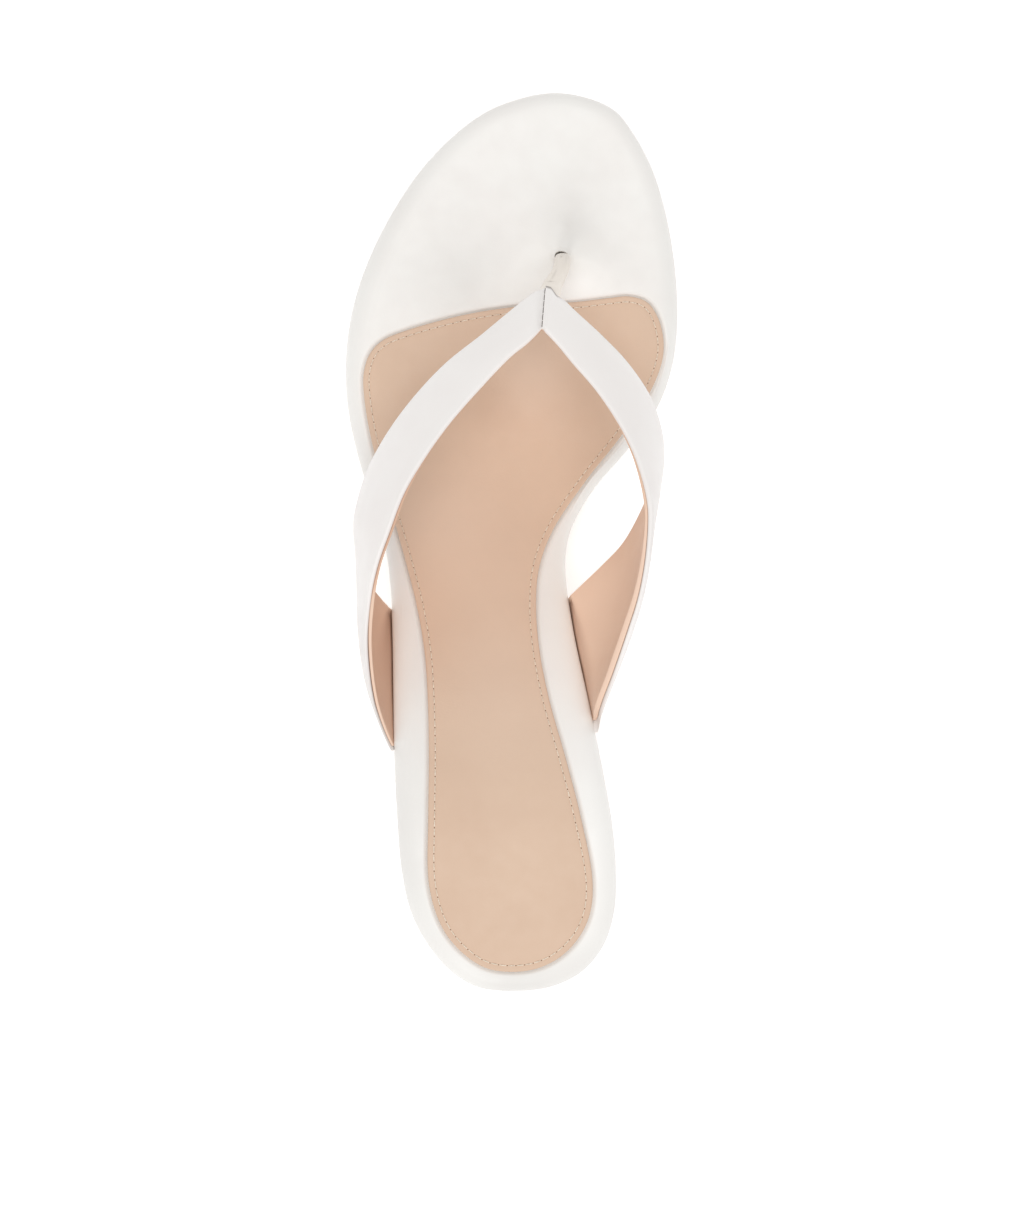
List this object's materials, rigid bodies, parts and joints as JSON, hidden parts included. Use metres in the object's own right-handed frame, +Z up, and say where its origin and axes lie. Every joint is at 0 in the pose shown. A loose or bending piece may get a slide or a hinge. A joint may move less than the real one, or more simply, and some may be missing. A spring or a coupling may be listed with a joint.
{
  "type": "toe post sandal",
  "caption": "Heeled toe post mule for the left foot: a padded wrapped footbed on a covered heel, with a Y of two wide bands and a toe post.",
  "frame": {"origin": "middle of the heel top piece's underside, on the floor", "axes": "+Y towards the toe, +X towards the big toe side, +Z up from the floor"},
  "size_m": [0.0884, 0.2309, 0.0646],
  "materials": {
    "white_leather": "smooth satin",
    "nude_leather": "fine matte",
    "buff_sole_leather": "smooth, lightly polished",
    "top_piece_rubber": "matte"
  },
  "bodies": {
    "root": {"outsole": "buff_sole_leather", "heel": "white_leather", "heel_top_piece": "top_piece_rubber", "footbed": "white_leather", "insole": "nude_leather", "upper": "white_leather"}
  },
  "joints": []
}
